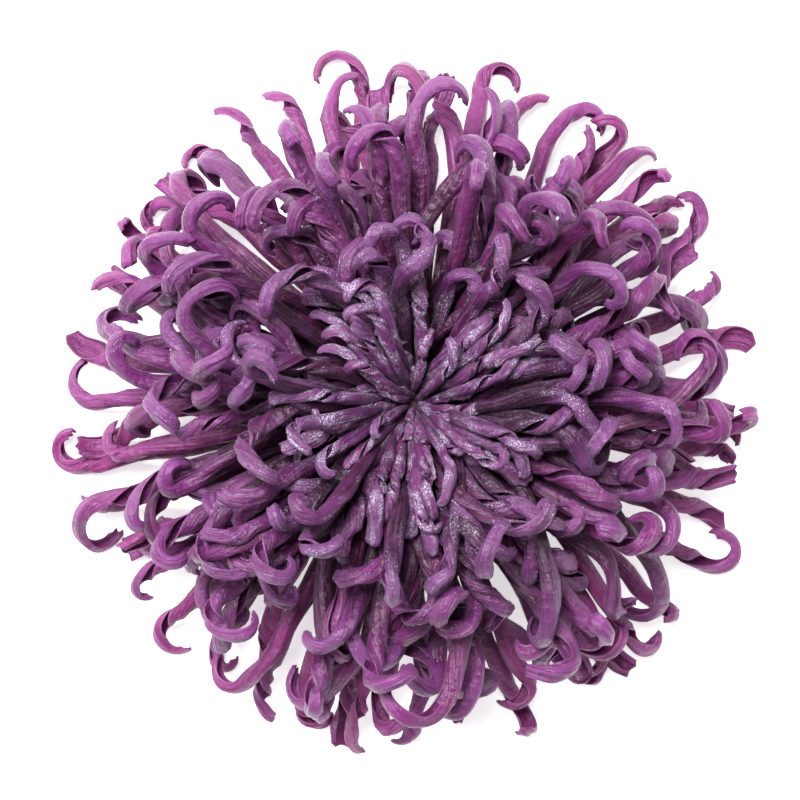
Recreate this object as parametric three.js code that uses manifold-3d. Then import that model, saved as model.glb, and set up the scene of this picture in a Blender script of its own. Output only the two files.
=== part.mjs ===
// A preserved spider chrysanthemum head, lying face up on its cut stem end and its lowest petals.
// Millimetres, +Z up out of the face of the flower, origin at the centre of the stem's cut end.
// The green parts are turned about Z. Each petal is a flattened quill swept along a spine that
// leaves the receptacle, arches, and curls at its tip in one of a few habits.
import * as THREE from "three";
import { mergeVertices } from "three/addons/utils/BufferGeometryUtils.js";
import Module from "manifold-3d";

// Driving dimensions.
const STEM_RADIUS = 2.6;
const STEM_HEIGHT = 5.6;
const CUP_TOP = 12.2; // where the bracts end, just under the lowest petals
const CUP_RADIUS = 7.4;
const BRACTS = 13;
const DOME_RADIUS = 7.4; // the receptacle that the petals stand on
const DOME_RISE = 5.2;
const DOME_BASE = 12.9;
const GAP = 0.3; // left between neighbouring solids
const LIE = 0.9; // how high the lowest spine point of a petal that lies on the table is
const SETTLE_STEP = 0.25; // degrees that a petal is lifted by until it lies so
const BODY_STEPS = 4; // sections along a petal before its curl
const CURL_STEPS = 9;
const DEGREE = Math.PI / 180;

// How a petal's tip ends: curl is the whole turn of the tip, and way is the side that it turns
// to, where 0 is up and back over the flower, 90 is anticlockwise seen from above, 180 is down.
// share is how much of a short petal's length curls, and twist turns the blade about its own line.
const HABITS = {
  quill: { curl: 26, way: 10, share: 0.3, twist: 0 },
  flare: { curl: 70, way: -20, share: 0.28, twist: 20 },
  hookUp: { curl: 205, way: 12, share: 0.33, twist: 15 },
  hookLeft: { curl: 195, way: 70, share: 0.33, twist: -25 },
  hookRight: { curl: 195, way: -70, share: 0.33, twist: 25 },
  loopLeft: { curl: 265, way: 50, share: 0.4, twist: -35 },
  loopRight: { curl: 265, way: -50, share: 0.4, twist: 35 },
  bendLeft: { curl: 92, way: 88, share: 0.28, twist: -30 },
  bendRight: { curl: 92, way: -88, share: 0.28, twist: 30 },
  over: { curl: 120, way: 170, share: 0.36, twist: 10 },
};

// Rings of petals from the lowest to the heart. count is the ring's own number of petals, and
// every one of them in step with stride is a solid here. seat is the angle from the dome's top to
// the petals' seat, reach how far from the axis their furthest point is, and longest a limit on
// the length that this takes. tight scales share, because a long petal's curl is no wider.
const RINGS = [
  {
    name: "rim",
    count: 36,
    stride: 2,
    seat: 86,
    rise: -7,
    riseSpread: 2,
    reach: 49.4,
    reachSpread: 2.4,
    longest: 58,
    tight: 0.65,
    arch: 22,
    width: 3.3,
    turn: 0,
    habits: [
      "quill", "flare", "bendLeft", "hookLeft", "bendRight", "bendRight", "hookRight", "bendRight",
      "hookRight", "bendRight", "hookLeft", "bendLeft", "bendLeft", "hookLeft", "hookLeft",
      "hookUp", "quill", "flare", "hookRight", "hookRight", "bendRight", "quill", "hookLeft",
      "loopLeft", "bendLeft", "hookLeft", "quill", "bendRight", "flare", "hookUp", "loopLeft",
      "quill", "hookUp", "loopLeft", "quill", "flare",
    ],
  },
  {
    name: "outer",
    count: 39,
    stride: 3,
    seat: 69,
    rise: 14,
    riseSpread: 4,
    reach: 42,
    reachSpread: 3,
    longest: 54,
    tight: 0.9,
    arch: 4,
    width: 3.3,
    turn: 4,
    habits: ["hookLeft", "loopRight", "hookRight", "loopLeft", "bendRight", "hookUp", "hookUp"],
  },
  {
    name: "middle",
    count: 40,
    stride: 4,
    seat: 53,
    rise: 31,
    riseSpread: 4,
    reach: 34,
    reachSpread: 3,
    longest: 46,
    tight: 1,
    arch: 8,
    width: 3.1,
    turn: 2,
    habits: ["hookRight", "hookUp", "hookLeft", "bendRight", "loopRight", "hookUp", "bendLeft"],
  },
  {
    name: "inner",
    count: 35,
    stride: 5,
    seat: 37,
    rise: 47,
    riseSpread: 3.5,
    reach: 25,
    reachSpread: 2.4,
    longest: 38,
    tight: 1.05,
    arch: 12,
    width: 2.9,
    turn: 6,
    habits: ["hookLeft", "hookUp", "over", "hookRight", "hookUp", "bendLeft", "bendRight"],
  },
];

// The heart's petals are short, stand close and share one seat, so they are joined in one solid.
const HEART = {
  count: 12,
  rise: 86,
  reach: 12,
  reachSpread: 2,
  arch: 62,
  width: 2.2,
  habits: ["bendLeft", "over", "bendRight"],
};

// Even but unpatterned numbers from 0 to 1: the fractions of n times an irrational step.
const STEPS = [0.6180339887, 0.7548776662, 0.569840291, 0.8191725134, 0.6710436067];
const scatter = (n, salt) => (0.5 + (n + 1) * STEPS[salt % STEPS.length]) % 1;
const around = (n, salt, middle, spread) => middle + (2 * scatter(n, salt) - 1) * spread;

// Points and blade frames along a petal of unit length. T runs along the petal, N is its upper
// face and B its left edge. heading is the azimuth, rise the slope at the seat.
function unitSpine({ heading, rise, arch, curl, way, share, twist }) {
  const radial = new THREE.Vector3(Math.cos(heading), Math.sin(heading), 0);
  const up = new THREE.Vector3(0, 0, 1);
  const T = radial.clone().multiplyScalar(Math.cos(rise)).addScaledVector(up, Math.sin(rise));
  const N = up.clone().multiplyScalar(Math.cos(rise)).addScaledVector(radial, -Math.sin(rise));
  const B = new THREE.Vector3().crossVectors(N, T);
  const at = new THREE.Vector3();
  const stations = [{ at: at.clone(), T: T.clone(), N: N.clone(), B: B.clone(), along: 0 }];
  const turn = (towards, angle) => {
    const axis = new THREE.Vector3().crossVectors(T, towards).normalize();
    for (const v of [T, N, B]) v.applyAxisAngle(axis, angle);
  };
  const advance = (step, bend, towards, roll) => {
    turn(towards(), bend / 2);
    at.addScaledVector(T, step);
    turn(towards(), bend / 2);
    for (const v of [N, B]) v.applyAxisAngle(T, roll);
    const along = stations.at(-1).along + step;
    stations.push({ at: at.clone(), T: T.clone(), N: N.clone(), B: B.clone(), along });
  };
  for (let i = 0; i < BODY_STEPS; i++)
    advance((1 - share) / BODY_STEPS, arch / BODY_STEPS, () => N.clone().negate(), 0);
  let rolled = 0;
  for (let i = 0; i < CURL_STEPS; i++) {
    // The curl tightens evenly towards the tip.
    const bend = (curl * (2 * i + 1)) / CURL_STEPS ** 2;
    const roll = twist / CURL_STEPS;
    const side = () =>
      N.clone()
        .multiplyScalar(Math.cos(way - rolled))
        .addScaledVector(B, Math.sin(way - rolled));
    advance(share / CURL_STEPS, bend, side, roll);
    rolled += roll;
  }
  return stations;
}

// A petal's spine in place: the unit one, scaled so that its furthest point is at reach, or to
// the longest petal of its ring.
function spineOf({ seat, reach, longest, ...shape }) {
  const unit = unitSpine(shape);
  const seatRadius = (DOME_RADIUS + GAP) * Math.sin(seat);
  const start = new THREE.Vector3(
    seatRadius * Math.cos(shape.heading),
    seatRadius * Math.sin(shape.heading),
    DOME_BASE + (DOME_RISE + GAP) * Math.cos(seat),
  );
  const heading = new THREE.Vector3(Math.cos(shape.heading), Math.sin(shape.heading), 0);
  const furthest = Math.max(...unit.map((s) => s.at.dot(heading)));
  const length = Math.min((reach - seatRadius) / furthest, longest);
  return unit.map((s) => ({ ...s, at: s.at.multiplyScalar(length).add(start) }));
}

// The spine of a petal lifted, where it needs it, until it lies on the table and not through it.
function settledSpine(petal) {
  const lowest = (spine) => Math.min(...spine.map((s) => s.at.z));
  let rise = petal.rise;
  let spine = spineOf(petal);
  while (lowest(spine) < LIE) {
    rise += SETTLE_STEP * DEGREE;
    spine = spineOf({ ...petal, rise });
  }
  return spine;
}

// The blade's width and thickness along a petal: a narrow claw, a full quill, then a thin blade.
function bladeAt(along, width, share) {
  const open = THREE.MathUtils.smoothstep(along, 0, 0.4);
  const blade = THREE.MathUtils.smoothstep(along, 1 - share - 0.1, 1 - share * 0.4);
  const end = THREE.MathUtils.smoothstep(along, 0.93, 1);
  return {
    wide: THREE.MathUtils.lerp(0.36, 0.96, open) * width * (1 - 0.18 * end),
    thick: THREE.MathUtils.lerp(THREE.MathUtils.lerp(0.9, 1.5, open), 0.8, blade),
  };
}

const SECTION = [0, 60, 120, 180, 240, 300].map((a) => a * DEGREE);

// A closed solid through six-sided sections at the stations, with flat ends.
function sweep(stations, width, share) {
  const positions = [];
  for (const s of stations) {
    const { wide, thick } = bladeAt(s.along, width, share);
    for (const a of SECTION) {
      const p = s.at
        .clone()
        .addScaledVector(s.B, (Math.cos(a) * wide) / 2)
        .addScaledVector(s.N, ((Math.sin(a) / Math.sin(60 * DEGREE)) * thick) / 2);
      positions.push(p.x, p.y, p.z);
    }
  }
  const n = SECTION.length;
  const index = [];
  for (let i = 0; i + 1 < stations.length; i++)
    for (let j = 0; j < n; j++) {
      const a = i * n + j;
      const b = i * n + ((j + 1) % n);
      index.push(a, b, b + n, a, b + n, a + n);
    }
  const last = (stations.length - 1) * n;
  for (let j = 1; j + 1 < n; j++) index.push(0, j + 1, j, last, last + j, last + j + 1);
  return new THREE.BufferGeometry()
    .setAttribute("position", new THREE.Float32BufferAttribute(positions, 3))
    .setIndex(index);
}

// One petal of a ring as a swept solid.
function petalGeometry(ring, k, id) {
  const habit = HABITS[ring.habits[k % ring.habits.length]];
  const spacing = 360 / ring.count;
  const share = habit.share * ring.tight;
  const spine = settledSpine({
    heading: around(id, 0, ring.turn + k * spacing, spacing * 0.2) * DEGREE,
    rise: around(id, 1, ring.rise, ring.riseSpread) * DEGREE,
    reach: around(id, 2, ring.reach, ring.reachSpread),
    longest: ring.longest,
    seat: ring.seat * DEGREE,
    arch: ring.arch * DEGREE,
    curl: habit.curl * around(id, 3, 1, 0.1) * DEGREE,
    way: around(id, 4, habit.way, 10) * DEGREE,
    share,
    twist: habit.twist * DEGREE,
  });
  return sweep(spine, ring.width, share);
}

const wasm = await Module();
wasm.setup();

// A geometry as a manifold-3d solid, and back.
function toSolid(geometry) {
  const bare = geometry.index ? geometry.toNonIndexed() : geometry.clone();
  for (const name of Object.keys(bare.attributes))
    if (name !== "position") bare.deleteAttribute(name);
  const merged = mergeVertices(bare, 1e-4);
  return new wasm.Manifold(
    new wasm.Mesh({
      numProp: 3,
      vertProperties: merged.attributes.position.array,
      triVerts: new Uint32Array(merged.index.array),
    }),
  );
}

function toGeometry(solid) {
  const mesh = solid.getMesh();
  return new THREE.BufferGeometry()
    .setAttribute("position", new THREE.BufferAttribute(mesh.vertProperties, 3))
    .setIndex(new THREE.BufferAttribute(mesh.triVerts, 1));
}

const turned = (profile, sides) =>
  new THREE.LatheGeometry(
    profile.map(([r, z]) => new THREE.Vector2(r, z)),
    sides,
  ).rotateX(Math.PI / 2);

// The stub of stem under the head, with its flat cut end at the origin.
function stemGeometry() {
  const profile = [
    [0, 0],
    [STEM_RADIUS, 0],
    [STEM_RADIUS * 0.94, STEM_HEIGHT * 0.5],
    [STEM_RADIUS * 1.04, STEM_HEIGHT],
    [0, STEM_HEIGHT],
  ];
  return turned(profile, 16);
}

// The green cup of joined bracts that holds the petals from below.
function involucreGeometry() {
  const bottom = STEM_HEIGHT + GAP;
  const cup = turned(
    [
      [0, bottom],
      [STEM_RADIUS * 1.2, bottom],
      [CUP_RADIUS * 0.72, bottom + 1.6],
      [CUP_RADIUS * 0.92, CUP_TOP - 2],
      [CUP_RADIUS * 0.94, CUP_TOP],
      [0, CUP_TOP],
    ],
    26,
  );
  const bract = new THREE.Shape()
    .moveTo(-1.5, 0)
    .quadraticCurveTo(-1.7, 3.4, 0, 6)
    .quadraticCurveTo(1.7, 3.4, 1.5, 0);
  const blade = new THREE.ExtrudeGeometry(bract, {
    depth: 0.7,
    bevelEnabled: false,
    curveSegments: 3,
  });
  let solid = toSolid(cup);
  for (let i = 0; i < BRACTS; i++) {
    const placed = blade
      .clone()
      .rotateX(Math.PI / 2 - 12 * DEGREE)
      .rotateZ(Math.PI / 2)
      .translate(CUP_RADIUS * 0.8, 0, bottom + 0.4)
      .rotateZ((i / BRACTS) * 2 * Math.PI);
    solid = solid.add(toSolid(placed));
  }
  return toGeometry(solid);
}

// The dome that the petals stand on.
function receptacleGeometry() {
  const profile = [[0, CUP_TOP + GAP]];
  profile.push([DOME_RADIUS * 0.97, CUP_TOP + GAP]);
  for (let a = 90; a > 0; a -= 18)
    profile.push([DOME_RADIUS * Math.sin(a * DEGREE), DOME_BASE + DOME_RISE * Math.cos(a * DEGREE)]);
  profile.push([0, DOME_BASE + DOME_RISE]);
  return turned(profile, 26);
}

// The heart: short petals joined at one boss on top of the dome.
function heartGeometry() {
  const top = DOME_BASE + DOME_RISE + GAP;
  const boss = turned(
    [
      [0, top],
      [1.9, top],
      [2.3, top + 1.6],
      [1.5, top + 3.4],
      [0, top + 4],
    ],
    12,
  );
  let solid = toSolid(boss);
  for (let k = 0; k < HEART.count; k++) {
    const habit = HABITS[HEART.habits[k % HEART.habits.length]];
    const spine = unitSpine({
      heading: (k / HEART.count) * 2 * Math.PI,
      rise: around(k, 1, HEART.rise, 6) * DEGREE,
      arch: HEART.arch * DEGREE,
      curl: habit.curl * 0.7 * DEGREE,
      way: habit.way * DEGREE,
      share: habit.share,
      twist: habit.twist * DEGREE,
    });
    const heading = new THREE.Vector3(
      Math.cos((k / HEART.count) * 2 * Math.PI),
      Math.sin((k / HEART.count) * 2 * Math.PI),
      0,
    );
    const start = heading.clone().multiplyScalar(1.1).setZ(top + 1.2);
    const furthest = Math.max(...spine.map((s) => s.at.dot(heading)));
    const length = (around(k, 2, HEART.reach, HEART.reachSpread) - 1.1) / furthest;
    for (const s of spine) s.at.multiplyScalar(length).add(start);
    solid = solid.add(toSolid(sweep(spine, HEART.width, habit.share)));
  }
  return toGeometry(solid);
}

const finish = (name, colour, roughness) =>
  new THREE.MeshStandardMaterial({ name, color: colour, roughness, metalness: 0 });
const FINISHES = {
  stem: finish("stem", 0x6f7a44, 0.7),
  bract: finish("bract", 0x5d6b3a, 0.75),
  receptacle: finish("receptacle", 0x6b5560, 0.8),
  heart: finish("heart", 0x7c5684, 0.5),
  rim: finish("rim", 0x9a5590, 0.55),
  outer: finish("outer", 0x8a4b88, 0.55),
  middle: finish("middle", 0x7d4682, 0.55),
  inner: finish("inner", 0x774680, 0.5),
};

const flower = new THREE.Group();
const place = (name, geometry, material) => {
  const mesh = new THREE.Mesh(geometry, material);
  mesh.name = name;
  flower.add(mesh);
};

place("stem_stub", stemGeometry(), FINISHES.stem);
place("involucre", involucreGeometry(), FINISHES.bract);
place("receptacle", receptacleGeometry(), FINISHES.receptacle);
place("heart_petals", heartGeometry(), FINISHES.heart);
let id = 0;
for (const ring of RINGS)
  for (let k = 0; k < ring.count; k++, id++)
    if (k % ring.stride === 0) {
      const number = String(k / ring.stride + 1).padStart(2, "0");
      place(`${ring.name}_petal_${number}`, petalGeometry(ring, k, id), FINISHES[ring.name]);
    }

export default flower;
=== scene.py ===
"""A preserved spider chrysanthemum head, lying face up on its cut stem end and its lowest petals.

Metres, +Z up out of the face of the bloom, origin at the centre of the stem's cut end. The petals
grow from the same rules as the solid model, so each detailed petal lies where its solid does, and
the petals that have no solid of their own fill the places left between them.
"""

import logging
import math
from dataclasses import dataclass, fields
from enum import Enum

import bpy
import numpy as np
from mathutils import Matrix, Vector


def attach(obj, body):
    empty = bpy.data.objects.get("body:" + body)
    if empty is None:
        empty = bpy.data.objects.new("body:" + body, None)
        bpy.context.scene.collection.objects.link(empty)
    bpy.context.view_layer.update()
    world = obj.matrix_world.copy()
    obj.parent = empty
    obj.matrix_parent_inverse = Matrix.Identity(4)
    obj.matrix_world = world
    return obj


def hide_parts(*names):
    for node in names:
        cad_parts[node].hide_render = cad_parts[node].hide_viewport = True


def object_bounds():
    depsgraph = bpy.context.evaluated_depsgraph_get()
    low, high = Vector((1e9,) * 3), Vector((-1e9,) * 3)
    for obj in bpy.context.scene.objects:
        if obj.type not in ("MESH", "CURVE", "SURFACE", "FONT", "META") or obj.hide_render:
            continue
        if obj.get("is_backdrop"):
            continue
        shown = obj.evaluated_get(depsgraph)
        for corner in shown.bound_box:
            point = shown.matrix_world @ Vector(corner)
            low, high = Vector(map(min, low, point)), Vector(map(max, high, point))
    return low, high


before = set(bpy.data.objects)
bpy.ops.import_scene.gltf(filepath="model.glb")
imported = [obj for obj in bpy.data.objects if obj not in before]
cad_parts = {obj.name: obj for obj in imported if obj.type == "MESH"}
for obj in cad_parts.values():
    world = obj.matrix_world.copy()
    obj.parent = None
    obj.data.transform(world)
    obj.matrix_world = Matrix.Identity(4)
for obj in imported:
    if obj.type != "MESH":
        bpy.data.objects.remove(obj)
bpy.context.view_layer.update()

log = logging.getLogger("chrysanthemum")

MM = 0.001
DOME_RADIUS = 7.4
DOME_RISE = 5.2
DOME_BASE = 12.9
GAP = 0.3
LIE = 0.9
SETTLE_STEP = 0.25
SOLID_BODY_STEPS = 4
SOLID_CURL_STEPS = 9

TURN = 2 * math.pi
TOUCH = 0.02
CLOSED = 171

# Fractions whose multiples spread evenly over 0 to 1 without a pattern.
STEPS = (0.6180339887, 0.7548776662, 0.569840291, 0.8191725134, 0.6710436067)


def scatter(number: int, salt: int) -> float:
    """Return an even but unpatterned value from 0 to 1 for a petal's number."""
    return (0.5 + (number + 1) * STEPS[salt % len(STEPS)]) % 1


def around(number: int, salt: int, middle: float, spread: float) -> float:
    """Return a value within spread of middle for a petal's number."""
    return middle + (2 * scatter(number, salt) - 1) * spread


def smooth(low: float, high: float, value: np.ndarray) -> np.ndarray:
    """Return the smooth step from 0 at low to 1 at high."""
    t = np.clip((value - low) / (high - low), 0, 1)
    return t * t * (3 - 2 * t)


@dataclass(frozen=True)
class Tip:
    """How a petal ends, in degrees, and how much of a short petal's length curls."""

    curl: float
    way: float
    share: float
    twist: float
    mouth: float
    point: float


class Habit(Enum):
    """The ways in which a petal's tip ends."""

    QUILL = Tip(26, 10, 0.3, 0, 150, 0.05)
    FLARE = Tip(70, -20, 0.28, 20, 92, -0.06)
    HOOK_UP = Tip(205, 12, 0.33, 15, 112, 0.36)
    HOOK_LEFT = Tip(195, 70, 0.33, -25, 110, 0.36)
    HOOK_RIGHT = Tip(195, -70, 0.33, 25, 110, 0.36)
    LOOP_LEFT = Tip(265, 50, 0.4, -35, 118, 0.4)
    LOOP_RIGHT = Tip(265, -50, 0.4, 35, 118, 0.4)
    BEND_LEFT = Tip(92, 88, 0.28, -30, 106, 0.24)
    BEND_RIGHT = Tip(92, -88, 0.28, 30, 106, 0.24)
    OVER = Tip(120, 170, 0.36, 10, 104, 0.4)
    ARCH_LEFT = Tip(200, 112, 0.5, -40, 108, 0.36)
    ARCH_RIGHT = Tip(200, -112, 0.5, 40, 108, 0.36)
    SCREW_LEFT = Tip(300, 62, 0.54, -110, 114, 0.42)
    SCREW_RIGHT = Tip(300, -62, 0.54, 110, 114, 0.42)
    TUCK_LEFT = Tip(240, 34, 0.46, 60, 112, 0.38)
    TUCK_RIGHT = Tip(240, -34, 0.46, -60, 112, 0.38)
    BLUNT = Tip(42, 165, 0.4, 8, 104, 0.02)
    SWIRL_LEFT = Tip(118, 98, 0.5, -20, 106, 0.2)
    SWIRL_RIGHT = Tip(118, -98, 0.5, 20, 106, 0.2)


H = Habit
RIM_HABITS = (
    H.QUILL, H.FLARE, H.BEND_LEFT, H.HOOK_LEFT, H.BEND_RIGHT, H.BEND_RIGHT, H.HOOK_RIGHT,
    H.BEND_RIGHT, H.HOOK_RIGHT, H.BEND_RIGHT, H.HOOK_LEFT, H.BEND_LEFT, H.BEND_LEFT, H.HOOK_LEFT,
    H.HOOK_LEFT, H.HOOK_UP, H.QUILL, H.FLARE, H.HOOK_RIGHT, H.HOOK_RIGHT, H.BEND_RIGHT, H.QUILL,
    H.HOOK_LEFT, H.LOOP_LEFT, H.BEND_LEFT, H.HOOK_LEFT, H.QUILL, H.BEND_RIGHT, H.FLARE, H.HOOK_UP,
    H.LOOP_LEFT, H.QUILL, H.HOOK_UP, H.LOOP_LEFT, H.QUILL, H.FLARE,
)
OUTER_HABITS = (
    H.HOOK_LEFT, H.LOOP_RIGHT, H.HOOK_RIGHT, H.LOOP_LEFT, H.BEND_RIGHT, H.HOOK_UP, H.HOOK_UP,
)
MIDDLE_HABITS = (
    H.HOOK_RIGHT, H.HOOK_UP, H.HOOK_LEFT, H.BEND_RIGHT, H.LOOP_RIGHT, H.HOOK_UP, H.BEND_LEFT,
)
INNER_HABITS = (
    H.HOOK_LEFT, H.HOOK_UP, H.OVER, H.HOOK_RIGHT, H.HOOK_UP, H.BEND_LEFT, H.BEND_RIGHT,
)
FREE_HABITS = (
    H.ARCH_LEFT, H.TUCK_RIGHT, H.SCREW_LEFT, H.ARCH_RIGHT, H.SCREW_RIGHT, H.TUCK_LEFT, H.LOOP_RIGHT,
    H.ARCH_LEFT, H.SCREW_RIGHT, H.LOOP_LEFT, H.OVER, H.ARCH_RIGHT, H.SCREW_LEFT,
)
LOW_HABITS = (
    H.BEND_RIGHT, H.HOOK_LEFT, H.QUILL, H.ARCH_RIGHT, H.HOOK_UP, H.BEND_LEFT, H.TUCK_RIGHT, H.FLARE,
    H.HOOK_RIGHT, H.ARCH_LEFT, H.QUILL,
)
HEART_HABITS = (H.BLUNT, H.SWIRL_LEFT, H.BLUNT, H.OVER, H.SWIRL_RIGHT, H.BLUNT, H.HOOK_LEFT)


@dataclass
class Growth:
    """The growth of many petals, one array entry a petal, in degrees and millimetres."""

    heading: np.ndarray
    rise: np.ndarray
    reach: np.ndarray
    longest: np.ndarray
    seat: np.ndarray
    arch: np.ndarray
    curl: np.ndarray
    way: np.ndarray
    share: np.ndarray
    twist: np.ndarray
    bow: np.ndarray
    kink: np.ndarray

    def picked(self, rows: np.ndarray) -> "Growth":
        """Return the growth of the petals in those rows."""
        return Growth(**{name: values[rows] for name, values in vars(self).items()})

    def joined(self, other: "Growth") -> "Growth":
        """Return this growth with another's petals after its own."""
        return Growth(**{n: np.concatenate([v, getattr(other, n)]) for n, v in vars(self).items()})


def swung(vectors: np.ndarray, axis: np.ndarray, angle: np.ndarray) -> np.ndarray:
    """Turn each row of vectors about the same row's unit axis.

    Args:
        vectors: one vector a row.
        axis: one unit axis a row.
        angle: one angle a row, in radians.

    Returns:
        The turned vectors.
    """
    c, s = np.cos(angle)[:, None], np.sin(angle)[:, None]
    along = np.sum(axis * vectors, axis=1, keepdims=True)
    return vectors * c + np.cross(axis, vectors) * s + axis * along * (1 - c)


@dataclass
class Spines:
    """Centre lines of many petals: each array has a row a petal and a column a station.

    t runs along the petal, n is its upper face and b its left edge.
    """

    at: np.ndarray
    t: np.ndarray
    n: np.ndarray
    b: np.ndarray
    along: np.ndarray

    @classmethod
    def grown(cls, growth: Growth, body_steps: int, curl_steps: int) -> "Spines":
        """Grow the centre lines from the seats to the tips.

        Args:
            growth: how each petal grows.
            body_steps: stations before the curl.
            curl_steps: stations in the curl.

        Returns:
            The centre lines in millimetres, in place.
        """
        rad = math.pi / 180
        head, rise = growth.heading * rad, growth.rise * rad
        radial = np.stack([np.cos(head), np.sin(head), np.zeros_like(head)], 1)
        up = np.array([[0.0, 0.0, 1.0]])
        t = radial * np.cos(rise)[:, None] + up * np.sin(rise)[:, None]
        n = up * np.cos(rise)[:, None] - radial * np.sin(rise)[:, None]
        b = np.cross(n, t)
        at, along = np.zeros_like(t), np.zeros_like(head)
        rows = [(at, t, n, b, along)]
        rolled = np.zeros_like(head)
        way, bow, share = growth.way * rad, growth.bow * rad, growth.share
        for i in range(body_steps + curl_steps):
            if i < body_steps:
                step, bend = (1 - share) / body_steps, growth.arch * rad / body_steps
                roll = np.zeros_like(head)
            else:
                c = i - body_steps
                step, bend = share / curl_steps, growth.curl * rad * (2 * c + 1) / curl_steps**2
                bend = bend * (1 + growth.kink * np.sin(9 * c / curl_steps + 7 * head))
                roll = growth.twist * rad / curl_steps
            for half in (0, 1):
                if i < body_steps:
                    towards = b * np.sin(bow)[:, None] - n * np.cos(bow)[:, None]
                else:
                    lean = (way - rolled)[:, None]
                    towards = n * np.cos(lean) + b * np.sin(lean)
                axis = np.cross(t, towards)
                axis /= np.linalg.norm(axis, axis=1, keepdims=True)
                t, n, b = (swung(v, axis, bend / 2) for v in (t, n, b))
                if half == 0:
                    at = at + t * step[:, None]
            n, b = swung(n, t, roll), swung(b, t, roll)
            rolled = rolled + roll
            along = along + step
            rows.append((at, t, n, b, along))
        at, t, n, b, along = (np.stack(part, 1) for part in zip(*rows))
        seat = growth.seat * rad
        seat_radius = (DOME_RADIUS + GAP) * np.sin(seat)
        furthest = np.einsum("psk,pk->ps", at, radial).max(1)
        length = np.minimum((growth.reach - seat_radius) / furthest, growth.longest)
        start = radial * seat_radius[:, None]
        start[:, 2] = DOME_BASE + (DOME_RISE + GAP) * np.cos(seat)
        return cls(at * length[:, None, None] + start[:, None, :], t, n, b, along)

    def sampled(self, s: np.ndarray) -> tuple[np.ndarray, ...]:
        """Look up the spines at other places.

        Args:
            s: where along each petal, with a row a petal.

        Returns:
            The points, tangents, normals and sideways directions there.
        """
        flat = s.reshape(len(s), -1)
        out = [np.empty(flat.shape + (3,)) for _ in range(4)]
        for p in range(len(s)):
            for grid, values in zip(out, (self.at, self.t, self.n, self.b)):
                for k in range(3):
                    grid[p, :, k] = np.interp(flat[p], self.along[p], values[p, :, k])
        return tuple(grid.reshape(s.shape + (3,)) for grid in out)


def settled(growth: Growth) -> Growth:
    """Lift each petal that goes through the table until it lies on it.

    Args:
        growth: how the petals grow.

    Returns:
        The same growth with steeper rises where they were needed.
    """
    rise = growth.rise.copy()
    while True:
        trial = Growth(**{**vars(growth), "rise": rise})
        low = Spines.grown(trial, SOLID_BODY_STEPS, SOLID_CURL_STEPS).at[:, :, 2].min(1) < LIE
        if not low.any():
            return trial
        rise = np.where(low, rise + SETTLE_STEP, rise)


@dataclass(frozen=True)
class Ring:
    """A ring of petals as the solid model grows it, in degrees and millimetres."""

    name: str
    count: int
    stride: int
    seat: float
    rise: float
    rise_spread: float
    reach: float
    reach_spread: float
    longest: float
    tight: float
    arch: float
    width: float
    turn: float
    habits: tuple[Habit, ...]
    bow: float = 80
    kink: float = 0.3
    inset: float = 0

    def free(self) -> list[bool]:
        """Tell which petals may lie where they have room.

        Returns:
            Whether each petal is loose, which the solids don't hold.
        """
        if self.name not in ("outer", "middle", "inner"):
            return [self.stride == 1] * self.count
        return [k % self.stride != 0 for k in range(self.count)]

    def habits_in_order(self) -> list[Habit]:
        """Work out each petal's habit.

        Returns:
            A habit for each petal of the ring, in order.
        """
        fixed = [self.habits[k % len(self.habits)] for k in range(self.count)]
        if self.stride == 1:
            return fixed
        free = FREE_HABITS
        return [free[k % len(free)] if loose else h for k, (h, loose) in enumerate(zip(fixed, self.free()))]

    def growth(self, first: int) -> Growth:
        """Work out how the ring's petals grow.

        Args:
            first: the number of its first petal.

        Returns:
            The growth of its petals, none of which goes through the table.
        """
        spacing = 360 / self.count
        rows = []
        for k, (habit, loose) in enumerate(zip(self.habits_in_order(), self.free())):
            tip = habit.value
            i = first + k
            bow = around(i, 3, 0, self.bow) if loose else 0
            short = self.inset * scatter(i, 4) if loose else 0
            rows.append((
                around(i, 0, self.turn + k * spacing, spacing * 0.2),
                around(i, 1, self.rise, self.rise_spread) + 1.2 * short,
                around(i, 2, self.reach, self.reach_spread) - short,
                self.longest,
                self.seat,
                self.arch + (0.65 * abs(bow) if loose else 0),
                tip.curl * around(i, 3, 1, 0.1),
                around(i, 4, tip.way, 10),
                tip.share * self.tight,
                tip.twist,
                bow,
                self.kink if loose else 0,
            ))
        return settled(Growth(*(np.array(c, float) for c in zip(*rows))))


RINGS = (
    Ring("rim", 36, 2, 86, -7, 2, 49.4, 2.4, 58, 0.65, 22, 3.3, 0, RIM_HABITS),
    Ring("outer", 39, 3, 69, 14, 4, 42, 3, 54, 0.9, 4, 3.3, 4, OUTER_HABITS, inset=8),
    Ring("middle", 40, 4, 53, 31, 4, 34, 3, 46, 1.0, 8, 3.1, 2, MIDDLE_HABITS, inset=8),
    Ring("inner", 35, 5, 37, 47, 3.5, 25, 2.4, 38, 1.05, 12, 2.9, 6, INNER_HABITS, inset=7),
)

TANGLE_RINGS = (
    Ring("rim_tangle", 38, 1, 78, 0, 4, 46, 3.5, 58, 0.75, 14, 3.2, 5, LOW_HABITS, 45),
    Ring("outer_tangle", 38, 1, 62, 22, 6, 38, 4, 52, 0.9, 6, 3.1, 3, FREE_HABITS),
    Ring("middle_tangle", 36, 1, 46, 38, 6, 30, 4, 44, 0.95, 10, 3.0, 8, FREE_HABITS),
    Ring("inner_tangle", 30, 1, 33, 58, 4, 22, 3, 36, 0.95, 18, 2.7, 2, FREE_HABITS),
)

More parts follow.
